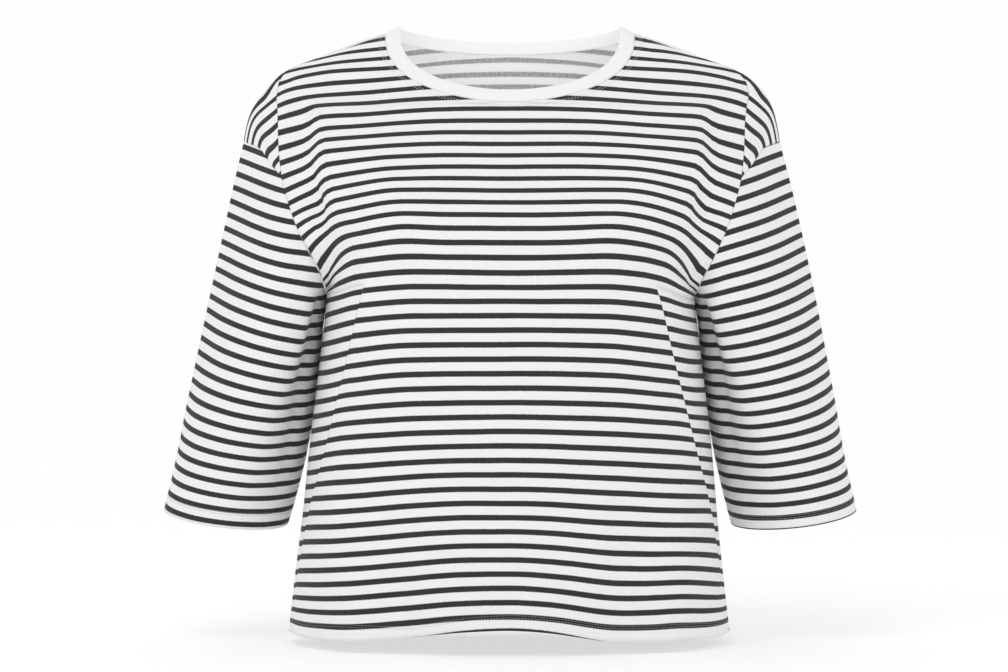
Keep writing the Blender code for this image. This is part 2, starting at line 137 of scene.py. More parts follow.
# The same of the back's cloth: its end has also turned downwards, and it may fall away at its start.
BACK_COLUMNS = (
    "level", "centre_y", "centre_z", "end_x", "end_y", "end_z", "turn", "fall", "start_fall", "full",
)
BACK_ROWS = (
    (0, 104, -606, 222, 20, -604, 90, 0, 0, 0.62),
    (56, 101, -553, 217, 20, -557, 90, 0, 0, 0.62),
    (126, 97, -484, 208, 20, -486, 90, 0, 0, 0.63),
    (196, 93, -415, 201, 18, -417, 90, 0, 0, 0.67),
    (266, 92, -346, 192, 14, -345, 90, 0, 0, 0.73),
    (322, 94, -290, 185, 6, -289, 90, 0, 0, 0.80),
    (342, 95, -270, 183, 0, -270, 90, 2, 0, 0.82),
    (378, 97, -234, 186, 36, -258, 78, 6, 0, 0.76),
    (406, 98, -206, 193, 61, -239, 62, 12, 0, 0.68),
    (430, 98, -182, 202, 76, -218, 48, 20, 0, 0.62),
    (460, 97, -153, 212, 86, -194, 36, 28, 0, 0.58),
    (510, 92, -104, 230, 84, -160, 34, 42, 0, 0.55),
    (556, 78, -55, 240, 76, -145, 38, 52, 0, 0.55),
    (575, 70, -39, 245, 70, -137, 42, 58, 0, 0.55),
    (594, 62, -22, 250, 63, -129, 45, 62, 2, 0.55),
    (614, 60, -16, 260, 41, -119, 50, 68, 9, 0.50),
    (636, 60, -10, 267, 14, -115, 54, 74, 14, 0.46),
    (648, 60, -10, 267, 5, -114, 60, 77, 24, 0.52),
    (666, 60, -10, 261, -4, -117, 60, 77, 38, 0.55),
    (688, 60, -10, 250, -20, -122, 55, 76, 48, 0.55),
    (711, 60, -10, 236, -44, -140, 50, 74, 54, 0.55),
    (734, 60, -10, 224, -60, -154, 45, 72, 56, 0.55),
)
# Where the side seam crosses the front's lines.
SEAM_COLUMNS = ("level", "x")
SEAM_ROWS = (
    (0, 221), (60, 213), (112, 203), (140, 195), (196, 180), (252, 165), (294, 154), (322, 147), (342, 141),
)
# How far the sleeve swells out of a straight tube on each of its sides.
SLEEVE_COLUMNS = ("along", "inner", "front", "outer", "back")
SLEEVE_ROWS = (
    (0.00, 0, 0, 0, 0),
    (0.15, 2, 5, 1, 3),
    (0.30, 6, 8, 1, 6),
    (0.50, 9, 8, 1, 8),
    (0.70, 8, 6, 1, 6),
    (0.85, 5, 3, 0, 3),
    (1.00, 0, 0, 0, 0),
)
CUFF_OUTER = (351, 46, -484)
CUFF_INNER = (225, 46, -499)
CUFF_DEPTH = 57
CUFF_DIP = 0.15
UNDERARM_ANGLE = 135
SHOULDER_ANGLE = 35
TOP_ANGLE = -8

# ------------ creases

# Soft folds of both halves, from one point to another (x, z): a positive depth is a trough.
FOLD_COLUMNS = ("side", "x0", "z0", "x1", "z1", "half_width", "depth0", "depth1")
FOLDS = (
    ("front", 204, -88, 192, -185, 11, 4.5, 4.5),
    ("front", 192, -185, 176, -240, 12, 5.0, 5.0),
    ("front", 165, -470, 158, -606, 26, -5.0, -5.0),
    ("front", 118, -500, 108, -606, 24, 4.0, 4.0),
    ("front", 40, -520, 30, -606, 40, -3.0, -3.0),
    ("back", 200, -150, 175, -250, 18, 5.0, 5.0),
    ("back", 150, -460, 160, -610, 30, -6.0, -6.0),
    ("back", 85, -430, 80, -610, 34, 6.0, 6.0),
    ("back", 0, -420, 0, -610, 36, -5.0, -5.0),
)
# Finer creases, each on one half: x is signed.
CREASES = (
    ("front", -182, -252, -205, -222, 4, 2.5, 1.0),
    ("front", -150, -262, -178, -262, 5, 1.5, 3.0),
    ("front", -196, -150, -186, -205, 5, 1.5, 2.5),
    ("front", 186, -165, 176, -200, 4, 2.5, 1.0),
    ("front", 178, -252, 200, -215, 4, 2.5, 1.0),
    ("front", 140, -258, 172, -270, 5, 1.0, 3.0),
    ("front", 134, -12, 146, -30, 4, 1.5, 2.5),
    ("front", 168, -345, 190, -341, 3, 1.0, 2.0),
    ("back", -60, -120, -150, -200, 14, 1.0, 3.0),
    ("back", 70, -130, 155, -215, 14, 1.0, 3.0),
    ("back", -165, -250, -120, -330, 9, 3.0, 0.5),
    ("back", 168, -255, 130, -320, 9, 3.0, 0.5),
    ("back", -175, -300, -140, -400, 10, 2.0, 0.5),
    ("back", 172, -310, 128, -390, 11, 2.0, 0.5),
)
# Sleeve creases, by angle round the cuff from the outer side towards the front, and by how far along.
SLEEVE_FOLD_COLUMNS = ("side", "angle0", "along0", "angle1", "along1", "half_width", "depth0", "depth1")
SLEEVE_FOLDS = (
    ("both", 112, 0.06, 136, 0.80, 9, 5.0, 1.5),
    ("both", 88, 0.00, 108, 0.30, 10, -2.0, -1.0),
    ("both", -160, 0.02, -175, 0.45, 10, 4.0, 1.0),
    ("right", 128, 0.20, 112, 0.48, 6, 2.5, 0.5),
    ("left", 126, 0.14, 108, 0.40, 6, 2.5, 0.5),
    ("left", -120, 0.45, -165, 0.62, 9, 2.0, 0.5),
    ("right", -110, 0.50, -160, 0.70, 9, 2.5, 0.5),
    ("left", 20, 0.62, 75, 0.75, 12, 1.0, 0.3),
    ("right", 15, 0.55, 70, 0.70, 12, 1.0, 0.3),
)
# How the cloth has settled along itself. Each row has its side, a place (x, z, with x signed), how wide
# and how high round it the cloth has moved, and by how much in x and in z.
SETTLES = (
    ("front", 0, -130, 40, 60, 0, -0.9),
    ("front", -145, -100, 40, 45, 0, -2.3),
    ("front", 145, -100, 45, 45, 0, -2.3),
    ("front", -105, -212, 32, 26, 0, 1.8),
    ("front", 95, -212, 32, 26, 0, 1.8),
    ("front", -190, -215, 26, 55, 0, 4.0),
    ("front", 172, -235, 28, 55, 0, -5.0),
    ("front", 130, -320, 45, 50, 0, -1.6),
    ("front", -70, -530, 48, 110, 0, 2.2),
    ("front", 98, -580, 38, 80, 0, -3.2),
    ("front", 168, -560, 24, 90, 0, 1.8),
    ("both", 285, -240, 90, 190, 5.5, 0),
    ("both", 218, -560, 40, 80, -2.0, 0),
    ("both", 196, -450, 20, 110, 0, 1.8),
    ("both", -250, -60, 26, 30, 5.0, -1.0),
)
BODY_HALF_WIDTH = 200          # of the oval that the body's folds press in on
BODY_HALF_DEPTH = 120
FOLD_BLEND = 3.0               # how far from the side the front's folds give way to the back's
SETTLE_BLEND = 12.0
SLEEVE_RADIUS = 62
SLEEVE_LENGTH = 350
ARMHOLE_FADE = 25              # how far from the armhole the sleeve's creases have their full depth
CUFF_FADE = 60
CUFF_FOLD_SHARE = 0.25         # the share of their depth that is left at the cuff
CAP_BLEND = 260                # this far above the cuff's edge, the stripes lie square to the sleeve

# ------------ mesh fineness, in millimetres

CLOTH_STEP = 4.5
LINE_POINTS = 200              # points on a line of cloth before it is spaced out evenly
SHORTEST_LINE = 0.001
INNER_REACH = 190              # from the centre to below the underarm, and from there to the armhole
OUTER_REACH = 60
NECK_STEPS = 30
NECK_TIP = 1.0
SEAM_MARGIN = 3.0              # a narrow strip along each seam, which rolls in
MARGIN_MIDDLE = 0.45           # where the strip has a row of points, as a share of its width
SEAM_ROLL = 0.35               # how far the cloth dips at a seam
ROLL_BESIDE = 0.25             # the share of that dip on the row beside the seam
SEAM_GAP = 0.1
WELDS_PER_MM = 50              # points that fall in one step of this grid become one
HEM_STEP = 3                   # the height over which the doubled hem thins to a single layer
BAND_RINGS = 150
BAND_PROFILE = 16
BAND_FOLD_STEPS = 6
BAND_DIPS = 6                  # the band's dip at its seam takes up one part in six of its width
BAND_CROWN = 0.25              # how much the band's outer layer stands proud

# ------------ stripes, in millimetres

LEFT_SLEEVE_PHASE = 1.5        # where the sleeves' stripes fall above the cuff, by the wearer's side
RIGHT_SLEEVE_PHASE = -5.5
HEM_SLIP = 3.5                 # how far the front's last stripe has slipped at the hem, off the centre
HEM_SLIP_WIDTH = 75
HEM_SLIP_HEIGHT = 10
BACK_PHASE = 3.5               # the back's stripes lie this much lower than the front's
BACK_SIDE = 330                # from the back's centre to its side seam, in the flat cloth
# The back's stripes have slipped under the arms and above them. A ramp is its start and its width, in
# levels or in the distance from the centre, and runs downwards where the width is negative.
ARM_RAMP = (UNDERARM_LEVEL, 80)
LEFT_SLIP = 1.4
LEFT_SLIP_DROP = 8.0
LEFT_SLIP_LEVEL = 230
LEFT_SLIP_POWER = 1.5
RIGHT_SLIP = 2.5
UPPER_SLIP = 6.0
UPPER_RAMP = (500, 160)
CAP_SLIP = 12.0                # over the outer shoulder, where the stripes lie closer
CAP_EDGE = 236
CAP_WIDTH = 20
CAP_REACH_BEHIND = 30
RIDGE_RAMP = (652, -16)
CAP_FRONT_RAMP = (666, -26)
CAP_BACK_RAMP = (636, -60)
BLADE_SLIP = 28.0              # behind the shoulder, where the flat levels bunch up
BLADE_SIDE_RAMP = (120, 130)
BLADE_LOW_RAMP = (500, 80)
BLADE_HIGH_RAMP = (592, 46)
STRIPE_DRIFT = 0.8             # how much a stripe's edge wanders, is fuzzy and steps from wale to wale
STRIPE_FUZZ = 0.5
WALE_STEP = 0.12
OUTSIDE_BLUR = 0.35            # half of the width over which white turns to dark
INSIDE_BLUR = 0.9

# ------------ yarn and sewing

WALE = 0.95                    # width of a column of knit stitches, in millimetres
COURSE = 0.75
RIB = 1.3
KNIT_RELIEF = 0.0003           # in metres
WHITE_SHADE = 0.955            # each yarn varies to a shade of its colour
DARK_LIFT = 1.35
THREAD_SHADE = 0.85
INSIDE_PAINTED_GLOW = 0.26           # painted glow: the strength of a constant emission on the wrong side, standing in for light that comes through thin white jersey
STITCH_SHARE = 0.82            # how much of a stitch's length shows
STITCH_LIFT = 0.3              # how far its middle stands off the cloth, in thicknesses of the thread
SEAM_CLEAR = 0.004             # the share of a line that the hem's rows keep clear of the side seam
HEM_PATH_POINTS = 60
STRIP_PATH_POINTS = 16
NECK_PATH_POINTS = 90
NECK_STITCH_OFFSETS = (4.0, 6.2)   # how far outside the neck seam its stitches run, in millimetres
CUFF_ROW_HEIGHTS = {"left": (14.0, 11.6), "right": (17.4, 15.0)}

# ------------ light and camera, in metres

CAMERA_DISTANCE = 2.9          # metres in front of the shirt
CAMERA_X = -0.006
CAMERA_Z = -0.309
IMAGE_WIDTH = 1008
SENSOR = 36.0
FLOOR_DROP = 0.011             # the floor's distance below the hem
WORLD_LIGHT = 0.80
FLOOR_GLOW = 0.2
# Name, place, aim, size and power.
SOFTBOXES = (
    ("key", (-0.8, -1.9, 2.3), (0, 0, -0.25), 1.6, 16),
    ("fill", (0.2, -3.6, 0.3), (0, 0, -0.3), 1.6, 5),
)


def monotone(xs, ys, x):
    """A smooth curve through a table's values that never overshoots them, at one value or many."""
    xs, ys = np.asarray(xs, float), np.asarray(ys, float)
    steps = np.diff(xs)
    slopes = np.diff(ys) / steps
    tangents = np.r_[slopes[0], np.zeros(len(xs) - 2), slopes[-1]]
    product = slopes[:-1] * slopes[1:]
    total = slopes[:-1] + slopes[1:]
    tangents[1:-1] = np.where(product > 0, 2 * product / np.where(total == 0, 1, total), 0)
    i = np.clip(np.searchsorted(xs, x) - 1, 0, len(xs) - 2)
    t = (x - xs[i]) / steps[i]
    return (ys[i] * (1 + 2 * t) * (1 - t) ** 2 + ys[i + 1] * t * t * (3 - 2 * t)
            + steps[i] * (tangents[i] * t * (1 - t) ** 2 - tangents[i + 1] * t * t * (1 - t)))


def read(columns, rows, where):
    """Every other column of a table, at one value of its first column."""
    table = np.array(rows, float)
    return {name: monotone(table[:, 0], table[:, i], where) for i, name in enumerate(columns) if i}


def unit(vectors):
    """Vectors brought to a length of one."""
    return vectors / np.maximum(np.linalg.norm(vectors, axis=-1, keepdims=True), 1e-9)


def eased(share):
    """A smooth step from 0 to 1."""
    share = np.clip(share, 0, 1)
    return share * share * (3 - 2 * share)


def ramp(value, start, width):
    """0 before a start and 1 past its width, with an eased rise; a negative width runs downwards."""
    return eased((value - start) / width)


def bezier(*points):
    """Points of a cubic curve."""
    a, b, c, d = (np.array(point, float) for point in points)
    t = np.linspace(0, 1, LINE_POINTS)[:, None]
    return a * (1 - t) ** 3 + 3 * b * t * (1 - t) ** 2 + 3 * c * t * t * (1 - t) + d * t ** 3


def lengths_of(curve):
    """How far along a polyline each of its points lies."""
    return np.r_[0, np.cumsum(np.linalg.norm(np.diff(curve, axis=0), axis=1))]


def spaced(curve, fractions):
    """Points at given fractions of a polyline's length."""
    lengths = lengths_of(curve)
    wanted = np.asarray(fractions) * lengths[-1]
    return np.stack([np.interp(wanted, lengths, curve[:, axis]) for axis in range(3)], 1)


# ------------ the cloth's lines

def neck_curve(curve, angle, front):
    """A point of a curve round the neck, from the centre (0) to the neck point (90 degrees)."""
    half_width, point_z, at_front, at_back = curve
    reach, drop, square = at_front if front else at_back
    cosine = max(math.cos(angle), 0.0)
    height = point_z - drop * cosine ** square
    return np.array([half_width * math.sin(angle), reach * cosine ** NECK_FULLNESS, height])


def front_neck_level(angle):
    rise = NECK_POINT_LEVEL - NECK_FRONT_LEVEL
    return NECK_POINT_LEVEL - rise * max(math.cos(angle), 0.0) ** NECK_SQUARENESS


def front_neck_angle(level):
    rise = NECK_POINT_LEVEL - NECK_FRONT_LEVEL
    cosine = ((NECK_POINT_LEVEL - level) / rise) ** (1 / NECK_SQUARENESS)
    return math.acos(min(max(cosine, -1.0), 1.0))


def front_line(level):
    """One line of the front's cloth, from its centre line or neck seam to its outer end."""
    row = read(FRONT_COLUMNS, FRONT_ROWS, level)
    start = np.array([0, row["centre_y"], row["centre_z"]])
    if level > NECK_FRONT_LEVEL:
        start = neck_curve(NECK_SEAM, front_neck_angle(level), True)
    end = np.array([row["end_x"], row["end_y"], row["end_z"]])
    turn = math.radians(row["turn"])
    out, back = end[0] - start[0], end[1] - start[1]
    reach = row["full"] * (abs(out) * math.cos(turn) + abs(back) * math.sin(turn))
    lead = start + (row["full"] * out, 0, 0)
    tail = end - (reach * math.cos(turn), reach * math.sin(turn), 0)
    curve = bezier(start, lead, tail, end)
    stations = np.array([-0.5, 0, 0.5, 0.8, 0.92, 1.0])
    heights = np.array([row["z50"], start[2], row["z50"], row["z80"], row["z92"], end[2]])
    first = 1 if level > NECK_FRONT_LEVEL else 0
    way_out = (curve[:, 0] - start[0]) / max(out, SHORTEST_LINE)
    curve[:, 2] = monotone(stations[first:], heights[first:], way_out)
    return curve


def back_level(level):
    """The back's level where the front's shoulder seam has the given level."""
    front = (SHOULDER_FRONT_LEVEL, SHOULDER_TURN_LEVEL, NECK_POINT_LEVEL)
    return np.interp(level, front, (BACK_SHOULDER_LEVEL, BACK_TURN_LEVEL, BACK_POINT_LEVEL))


def back_line(level, start=None):
    """One line of the back's cloth, from its centre line or top edge to its outer end."""
    row = read(BACK_COLUMNS, BACK_ROWS, level)
    if start is None:
        start = np.array([0, row["centre_y"], row["centre_z"]])
    end = np.array([row["end_x"], row["end_y"], row["end_z"]])
    reach = np.abs(end - start)
    turn, fall, dip = (math.radians(row[name]) for name in ("turn", "fall", "start_fall"))
    heading = np.array([math.cos(turn) * math.cos(fall), -math.sin(turn) * math.cos(fall), -math.sin(fall)])
    first = np.array([math.cos(dip), 0, -math.sin(dip)])
    lead = start + row["full"] * np.dot(reach, np.abs(first)) * first
    tail = end - row["full"] * np.dot(reach, np.abs(heading)) * heading
    return bezier(start, lead, tail, end)


def seam_share(level):
    """How far along a front line the side seam crosses it."""
    line = front_line(level)
    lengths = lengths_of(line)
    x = read(SEAM_COLUMNS, SEAM_ROWS, level)["x"]
    return float(np.interp(x, line[:, 0], lengths) / lengths[-1])


# ------------ where the cloth lies

def pressed(here, row, columns):
    """How deep one fold presses at each place (two coordinates)."""
    fold = dict(zip(columns, row))
    a, b = np.array(row[1:3], float), np.array(row[3:5], float)
    along = b - a
    t = np.clip((here - a) @ along / (along @ along), 0, 1)
    gap = np.linalg.norm(here - a - t[:, None] * along, axis=1)
    depth = fold["depth0"] + t * (fold["depth1"] - fold["depth0"])
    return depth * np.exp(-(gap / fold["half_width"]) ** 2)


def frontness(y, blend):
    """1 on the front and 0 on the back, with a soft change between them."""
    return 1 / (1 + np.exp(np.clip(y / blend, -30, 30)))


def body_folds(points):
    """How far the body's folds move each point."""
    x, y, z = points.T
    front = frontness(y, FOLD_BLEND)
    depth = np.zeros(len(points))
    for rows, across in ((FOLDS, np.abs(x)), (CREASES, x)):
        here = np.stack([across, z], 1)
        for row in rows:
            depth += pressed(here, row, FOLD_COLUMNS) * (front if row[0] == "front" else 1 - front)
    outward = np.stack([x / BODY_HALF_WIDTH ** 2, y / BODY_HALF_DEPTH ** 2, np.zeros(len(points))], 1)
    return -depth[:, None] * unit(outward)


def settled(points):
    """Points moved by the cloth's settling, on the body and the sleeves alike."""
    x, y, z = points.T
    front = frontness(y, SETTLE_BLEND)
    moved = points.copy()
    for side, x0, z0, wide, high, dx, dz in SETTLES:
        near = np.exp(-((x - x0) / wide) ** 2 - ((z - z0) / high) ** 2)
        near *= front if side == "front" else 1
        moved += near[:, None] * (dx, 0, dz)
    return moved


def folded(grid):
    flat = grid.reshape(-1, 3)
    return settled(flat + body_folds(flat)).reshape(grid.shape)


def shares(line, start, stop, count, narrow=True):
    """Fractions along a line of cloth, even but for a narrow strip beside the seam where they stop."""
    if not narrow:
        return np.linspace(start, stop, count)
    margin = math.copysign(SEAM_MARGIN, stop - start) / lengths_of(line)[-1]
    return np.r_[np.linspace(start, stop - margin, count), stop - margin * MARGIN_MIDDLE, stop]


def count_for(length):
    return max(int(round(length / CLOTH_STEP)), 2) + 1


def levels_between(low, high):
    return list(np.linspace(low, high, count_for(high - low)))


LOW_LEVELS = levels_between(0, UNDERARM_LEVEL)
ARM_LEVELS = levels_between(UNDERARM_LEVEL, SHOULDER_FRONT_LEVEL)
SHOULDER_LEVELS = levels_between(SHOULDER_FRONT_LEVEL, NECK_FRONT_LEVEL)[1:-1]
BACK_ARM_LEVELS = levels_between(UNDERARM_LEVEL, BACK_NECK_LEVEL)[:-1]
INNER_COUNT = count_for(INNER_REACH)
OUTER_COUNT = count_for(OUTER_REACH)


def neck_levels():
    """Levels of the front's lines that start on the neck seam, evenly round it."""
    angles = (math.pi / 2 * step / NECK_STEPS for step in range(NECK_STEPS))
    return [front_neck_level(angle) for angle in angles] + [NECK_POINT_LEVEL - NECK_TIP]


class Cloth:
    """Rows of points, with their place in the flat cloth."""

    def __init__(self):
        self.points, self.flat = [], []

    def add(self, line, where, level, start=0.0):
        """Take the points at some fractions of a line that starts so far from the centre."""
        self.points.append(spaced(line, where))
        self.flat.append(np.stack([start + where * lengths_of(line)[-1], np.full(len(where), level)], 1))

    def grid(self):
        return np.array(self.points), np.array(self.flat)


def front_half():
    """Half of the front: below the underarm to the side seam, and above it to the armhole."""
    corner = seam_share(UNDERARM_LEVEL)
    low, high = Cloth(), Cloth()
    for level in LOW_LEVELS:
        line = front_line(level)
        low.add(line, shares(line, 0, seam_share(level), INNER_COUNT), level)
    for level in [*ARM_LEVELS, *SHOULDER_LEVELS, *neck_levels()]:
        line = front_line(level)
        inner = shares(line, 0, corner, INNER_COUNT)
        outer = shares(line, corner, 1, OUTER_COUNT)
        high.add(line, np.r_[inner, outer[1:]], level, line[0, 0])
    return low.grid(), high.grid()


def back_top():
    """Levels and starting points of the back's lines along its neckline and its shoulder seam."""
    starts = []
    for step in range(NECK_STEPS):
        angle = math.pi / 2 * step / NECK_STEPS
        level = BACK_POINT_LEVEL - (BACK_POINT_LEVEL - BACK_NECK_LEVEL) * math.cos(angle)
        starts.append((level, neck_curve(NECK_SEAM, angle, False)))
    for level in [NECK_POINT_LEVEL, *neck_levels()[::-1], *SHOULDER_LEVELS[::-1], SHOULDER_FRONT_LEVEL + 1]:
        starts.append((back_level(level), front_line(level)[-1]))
    return starts


def back_half():
    """Half of the back, and the strip of it that comes forward under the arm to the side seam."""
    rows, strip = Cloth(), Cloth()
    count = INNER_COUNT + OUTER_COUNT
    for level in [*LOW_LEVELS[:-1], *BACK_ARM_LEVELS]:
        line = back_line(level)
        narrow = level > UNDERARM_LEVEL
        rows.add(line, shares(line, 0, 1, count + 2 * (not narrow), narrow), level)
    for level, start in back_top():
        line = back_line(level, start)
        rows.add(line, shares(line, 0, 1, count), level, start[0])
    for level in LOW_LEVELS:
        line = front_line(level)
        where = shares(line, 1, seam_share(level), OUTER_COUNT)
        strip.add(line, where, level)
        strip.flat[-1][:, 0] = lengths_of(back_line(level))[-1] + (1 - where) * lengths_of(line)[-1]
    return rows.grid(), strip.grid()


def armhole():
    """The armhole's points from the underarm, up the front and down the back, and their cuff angles."""
    front = [front_line(level)[-1] for level in ARM_LEVELS]
    back = back_half()[0][0][len(LOW_LEVELS) - 1:, -1][::-1]
    loop = np.array(front + list(back))
    loop += body_folds(loop)
    lengths = lengths_of(loop)
    shoulder = len(front) - 1
    top = int(np.argmax(loop[:, 2]))
    marks = (lengths[0], lengths[shoulder], lengths[top], lengths[-1])
    angles = (UNDERARM_ANGLE, SHOULDER_ANGLE, TOP_ANGLE, UNDERARM_ANGLE - 360)
    where = np.linspace(0, lengths[-1], count_for(lengths[-1]))
    return spaced(loop, where / lengths[-1]), np.interp(where, lengths, np.interp(lengths, marks, angles))


def cuff_point(angle):
    outer, inner = np.array(CUFF_OUTER, float), np.array(CUFF_INNER, float)
    centre, across = (outer + inner) / 2, (outer - inner) / 2
    forward = CUFF_DEPTH * np.array([0, -1, -CUFF_DIP])
    return centre + across * math.cos(math.radians(angle)) + forward * math.sin(math.radians(angle))


def sleeve_folds(side, angles, share):
    """How deep the sleeve's creases press round one ring, fading out at the armhole and the cuff."""
    scale = np.array([math.radians(SLEEVE_RADIUS), SLEEVE_LENGTH])
    depth = np.zeros(len(angles))
    for row in SLEEVE_FOLDS:
        if row[0] not in ("both", side):
            continue
        start, stop = np.array(row[1:3]) * scale, np.array(row[3:5]) * scale
        fold = (row[0], *start, *stop, *row[5:])
        for turn in (-360, 0, 360):
            here = np.stack([angles + turn, np.full(len(angles), share)], 1)
            depth += pressed(here * scale, fold, SLEEVE_FOLD_COLUMNS)
    at_armhole = min(share * SLEEVE_LENGTH / ARMHOLE_FADE, 1)
    at_cuff = min((1 - share) * SLEEVE_LENGTH / CUFF_FADE + CUFF_FOLD_SHARE, 1)
    return depth * (at_armhole * at_cuff)


def sleeve_rings(side):
    """Rings of one sleeve from the armhole to the cuff, with their place in the flat cloth."""
    loop, angles = armhole()
    cuff = np.array([cuff_point(angle) for angle in angles])
    across, forward = np.cos(np.radians(angles)), np.sin(np.radians(angles))
    outer, inner, front, back = (np.maximum(way, 0) ** 2 for way in (across, -across, forward, -forward))
    run = np.linalg.norm(cuff - loop, axis=1)
    girth = lengths_of(cuff)
    cuff_centre = (np.array(CUFF_OUTER, float) + CUFF_INNER) / 2
    axis = unit(loop.mean(0) - cuff_centre)
    points, flat = [], []
    margin = SEAM_MARGIN / SLEEVE_LENGTH
    for share in np.r_[0, margin * MARGIN_MIDDLE, np.linspace(margin, 1, count_for(SLEEVE_LENGTH))]:
        swell = read(SLEEVE_COLUMNS, SLEEVE_ROWS, share)
        ring = loop * (1 - share) + cuff * share
        ring[:, 0] += swell["outer"] * outer - swell["inner"] * inner
        ring[:, 1] += swell["back"] * back - swell["front"] * front
        away = ring - (cuff_centre + axis * np.dot(ring.mean(0) - cuff_centre, axis))
        away = unit(away - np.outer(away @ axis, axis))
        ring -= away * sleeve_folds(side, angles, share)[:, None]
        points.append(ring)
        along = (1 - share) * run
        height = (ring - cuff_centre) @ axis
        blend = eased(along / CAP_BLEND)
        flat.append(np.stack([girth, along * (1 - blend) + height * blend], 1))
    sign = 1 if side == "left" else -1
    points = np.array(points) * (sign, 1, 1)
    return settled(points.reshape(-1, 3)).reshape(points.shape), np.array(flat) * (sign, 1)


# ------------ meshes

def add_object(name, mesh):
    piece = bpy.data.objects.new(name, mesh)
    bpy.context.scene.collection.objects.link(piece)
    return piece


def sheet_mesh(name, grids):
    """One mesh from grids of (points, flat, flip), and the level of each vertex in the flat cloth.

    Corner UVs hold the place in the flat cloth, in metres.
    """
    places, corners, uvs = [], [], []
    first = 0
    for points, flat, flip in grids:
        rows, columns = points.shape[:2]
        index = first + np.arange(rows * columns).reshape(rows, columns)
        quads = np.stack([index[:-1, :-1], index[:-1, 1:], index[1:, 1:], index[1:, :-1]], -1).reshape(-1, 4)
        corners.append(quads[:, ::-1] if flip else quads)
        places.append(points.reshape(-1, 3))
        uvs.append(flat.reshape(-1, 2))
        first += rows * columns
    places, uvs, corners = np.concatenate(places), np.concatenate(uvs), np.concatenate(corners)
    keys = np.round(places * WELDS_PER_MM).astype(np.int64)
    _, kept, welded = np.unique(keys, axis=0, return_index=True, return_inverse=True)
    welded = welded.reshape(-1)
    faces, face_uvs = [], []
    for quad in corners:
        ring = [(int(welded[c]), c) for c in quad]
        ring = [item for i, item in enumerate(ring) if item[0] != ring[i - 1][0]]
        if len(ring) > 2:
            faces.append([item[0] for item in ring])
            face_uvs.extend(uvs[item[1]] * MM for item in ring)
    mesh = bpy.data.meshes.new(name)
    mesh.from_pydata((places[kept] * MM).tolist(), [], faces)
    layer = mesh.uv_layers.new(name="cloth")
    layer.data.foreach_set("uv", np.array(face_uvs, np.float32).ravel())
    mesh.shade_smooth()
    return mesh, uvs[kept, 1]


def shell(name, grids, hemmed=True):
    """A sheet with its wall by Solidify, thicker below the hem's fold, where the cloth is double."""
    size = sizes()
    mesh, levels = sheet_mesh(name, grids)
    piece = add_object(name, mesh)
    solid = piece.modifiers.new("Wall", "SOLIDIFY")
    solid.offset = -1
    solid.use_even_offset = True
    solid.material_offset = 1
    solid.thickness = size.wall
    if hemmed:
        group = piece.vertex_groups.new(name="doubled")
        thin, fold = size.wall / size.hem_wall, size.hem_depth / MM
        for i, level in enumerate(levels):
            share = min(max((fold + HEM_STEP / 2 - level) / HEM_STEP, 0), 1)
            group.add([i], thin + (1 - thin) * share, "REPLACE")
        solid.thickness = size.hem_wall
        solid.vertex_group = group.name
    return piece


def side_slip(across, level):
    """How far the back's stripes have slipped under the arms, by the share of the way to the side."""
    low = 1 - ramp(level, *ARM_RAMP)
    left = LEFT_SLIP - LEFT_SLIP_DROP * np.clip(1 - level / LEFT_SLIP_LEVEL, 0, 1) ** LEFT_SLIP_POWER
    return low * np.where(across > 0, left * across ** 2, RIGHT_SLIP * across)


def shoulder_slip(beside, level):
    """How far the back's stripes have slipped downwards above the arms, by the distance from the centre."""
    behind = CAP_REACH_BEHIND * ramp(level, *RIDGE_RAMP)
    outer = eased((beside - CAP_EDGE + behind) / (CAP_WIDTH + behind))
    cap = CAP_SLIP * outer * ramp(level, *CAP_FRONT_RAMP) * (1 - ramp(level, *CAP_BACK_RAMP))
    blade = BLADE_SLIP * ramp(beside, *BLADE_SIDE_RAMP) * ramp(level, *BLADE_LOW_RAMP)
    return UPPER_SLIP * ramp(level, *UPPER_RAMP) + cap + blade * (1 - ramp(level, *BLADE_HIGH_RAMP))


def back_stripes(flat):
    """The back's flat places, with how far its stripes have slipped."""
    across, level = flat[..., 0], flat[..., 1]
    slip = side_slip(across / BACK_SIDE, level) - shoulder_slip(np.abs(across), level)
    return np.stack([across, level + slip], -1)


def front_stripes(flat):
    """The front's flat places: away from the centre the hem is cut just above the last stripe."""
    across, level = flat[..., 0], flat[..., 1]
    beside = 1 - np.exp(-(across / HEM_SLIP_WIDTH) ** 2)
    slip = HEM_SLIP * beside * np.clip(1 - level / HEM_SLIP_HEIGHT, 0, 1)
    return np.stack([across, level + slip], -1)


def mirrored(grid):
    points, flat = grid
    return points * (-1, 1, 1), flat * (-1, 1)


def both_halves(grid, flip):
    """A half's grid and its mirror image, folded."""
    result = []
    for points, flat in (grid, mirrored(grid)):
        side = points[points.shape[0] // 2, -1, 0] < 0
        result.append((folded(points), flat, flip != side))
    return result


def rolled(grid, rows=slice(None)):
    """A grid whose outer edge is drawn back by half of the seam's gap and dips inwards."""
    points, flat = grid
    result = points.copy()
    line, inner = points[rows, -1], points[rows, -3]
    inwards = unit(line * (-1, -1, 0))
    result[rows, -1] += unit(inner - line) * SEAM_GAP / 2 + inwards * SEAM_ROLL
    result[rows, -2] += inwards * SEAM_ROLL * ROLL_BESIDE
    return result, flat


def cut_of(grids):
    """Width, length and area of a piece's cut, from its flat coordinates."""
    flats = [flat for _, flat, _ in grids]
    everything = np.concatenate([flat.reshape(-1, 2) for flat in flats])
    area = 0.0
    for flat in flats:
        a, b, c, d = flat[:-1, :-1], flat[:-1, 1:], flat[1:, 1:], flat[1:, :-1]
        p, q = c - a, d - b
        area += np.abs(p[..., 0] * q[..., 1] - p[..., 1] * q[..., 0]).sum() / 2
    width, length = np.ptp(everything, axis=0)
    return width * MM, length * MM, area * MM * MM


